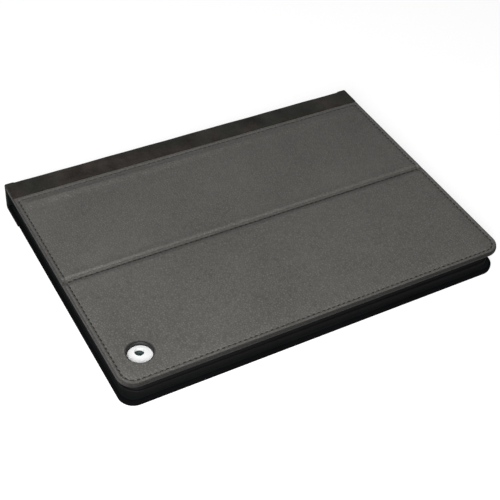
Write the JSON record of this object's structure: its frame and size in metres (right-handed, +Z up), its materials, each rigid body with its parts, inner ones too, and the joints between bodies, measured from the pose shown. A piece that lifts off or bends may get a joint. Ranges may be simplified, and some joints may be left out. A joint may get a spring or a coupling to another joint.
{
  "type": "tablet case",
  "caption": "Slim folding tablet case with padded leather back, camera opening, fold-out stand flap, moulded tablet tray and hinged front cover.",
  "frame": {"origin": "middle of the footprint, on the surface that the closed case lies on", "axes": "+X along the spine, +Y from the free front edge towards the spine, +Z up through the closed case from the front cover to the back"},
  "size_m": [0.2498, 0.1798, 0.0192],
  "materials": {
    "leather": "fine-grained warm grey leather, matt to satin",
    "suede": "dark brown-black suede, napped and matt",
    "nubuck": "black nubuck with a short soft nap",
    "microfibre": "teal-black brushed microfibre",
    "thread": "waxed grey polyester thread",
    "dark_thread": "waxed black polyester thread",
    "fibreboard": "pressed grey-brown fibreboard",
    "tray_plastic": "black soft-touch moulded polycarbonate",
    "soft_rubber": "black soft moulded elastomer",
    "pale_metal": "fine satin anodised aluminium",
    "tinted_window": "dark tinted clear acrylic, polished",
    "keeper_steel": "thin brushed steel sheet",
    "magnet": "nickel-plated magnet"
  },
  "bodies": {
    "front_cover": {"cover_skin": "nubuck", "cover_stitching": "dark_thread", "cover_suede": "suede", "cover_board": "fibreboard", "cover_magnets": "magnet", "cover_lining": "microfibre"},
    "spine": {"spine_suede": "suede", "spine_board": "fibreboard", "spine_lining": "microfibre"},
    "back": {"back_skin": "leather", "back_stitching": "thread", "back_suede": "suede", "back_backing": "leather", "back_board": "fibreboard", "tray_frame": "tray_plastic", "tray_roof": "tray_plastic", "tray_lining": "microfibre", "retaining_lip": "soft_rubber", "camera_plate": "pale_metal", "camera_window": "tinted_window", "flap_keepers": "keeper_steel", "tray_magnets": "magnet"},
    "stand_flap": {"flap_skin": "leather", "flap_stitching": "thread", "flap_backing": "leather", "flap_board": "fibreboard", "flap_magnets": "magnet"}
  },
  "joints": [
    {"name": "cover_crease", "type": "hinge", "parent": "front_cover", "child": "spine", "pos_m": [0, 0.08985, 0], "axis": [-1, 0, 0], "range_deg": [0, 90]},
    {"name": "back_crease", "type": "hinge", "parent": "spine", "child": "back", "pos_m": [0, 0.08985, 0.0192], "axis": [-1, 0, 0], "range_deg": [0, 90]},
    {"name": "flap_fold", "type": "hinge", "parent": "back", "child": "stand_flap", "pos_m": [0, -0.00545, 0.0192], "axis": [1, 0, 0], "range_deg": [-170, 0]}
  ]
}
